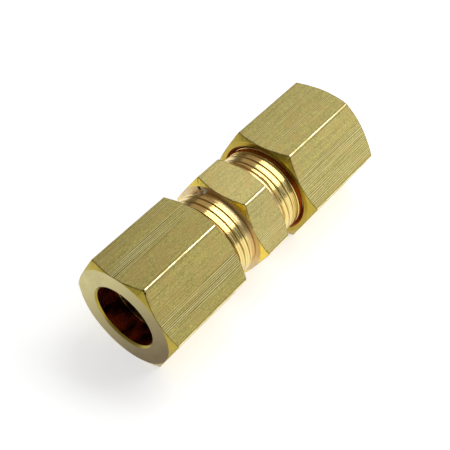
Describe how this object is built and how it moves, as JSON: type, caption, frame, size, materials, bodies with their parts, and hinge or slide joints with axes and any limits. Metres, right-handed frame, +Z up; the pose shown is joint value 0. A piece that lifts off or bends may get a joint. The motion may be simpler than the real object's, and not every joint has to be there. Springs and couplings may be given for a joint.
{
  "type": "compression fitting",
  "caption": "Straight brass compression union for round tube: hexagonal body threaded at both ends, with long hexagonal nuts over tapered sealing ferrules.",
  "frame": {"origin": "on the tube axis at the middle of the union body", "axes": "X along the tube axis, from the near nut (-X) to the far nut (+X); +Z up, square to the flats that both nuts rest on; Y across"},
  "size_m": [0.0588, 0.0238, 0.0206],
  "materials": {
    "body_brass": "bright turned threads and seats, drawn hex flats",
    "nut_brass": "drawn flats with lengthwise lines, satin turned end face",
    "ferrule_brass": "bright turned, annealed"
  },
  "bodies": {
    "union_body": {"union_body": "body_brass"},
    "near_ferrule": {"near_ferrule": "ferrule_brass"},
    "near_nut": {"near_nut": "nut_brass"},
    "far_ferrule": {"far_ferrule": "ferrule_brass"},
    "far_nut": {"far_nut": "nut_brass"}
  },
  "joints": [
    {"name": "near_ferrule_slide", "type": "slide", "parent": "union_body", "child": "near_ferrule", "axis": [-1, 0, 0], "range_m": [-0.00036, 0.00565]},
    {"name": "near_nut_turn", "type": "hinge", "parent": "near_ferrule", "child": "near_nut", "pos_m": [0, 0, 0], "axis": [-1, 0, 0], "range_deg": [-90, 1440]},
    {"name": "far_ferrule_slide", "type": "slide", "parent": "union_body", "child": "far_ferrule", "axis": [1, 0, 0], "range_m": [-0.00036, 0.00565]},
    {"name": "far_nut_turn", "type": "hinge", "parent": "far_ferrule", "child": "far_nut", "pos_m": [0, 0, 0], "axis": [1, 0, 0], "range_deg": [-90, 1440]}
  ],
  "couplings": [
    {"joint": "near_ferrule_slide", "follows": "near_nut_turn", "m_per_rad": 0.00022459},
    {"joint": "far_ferrule_slide", "follows": "far_nut_turn", "m_per_rad": 0.00022459}
  ]
}
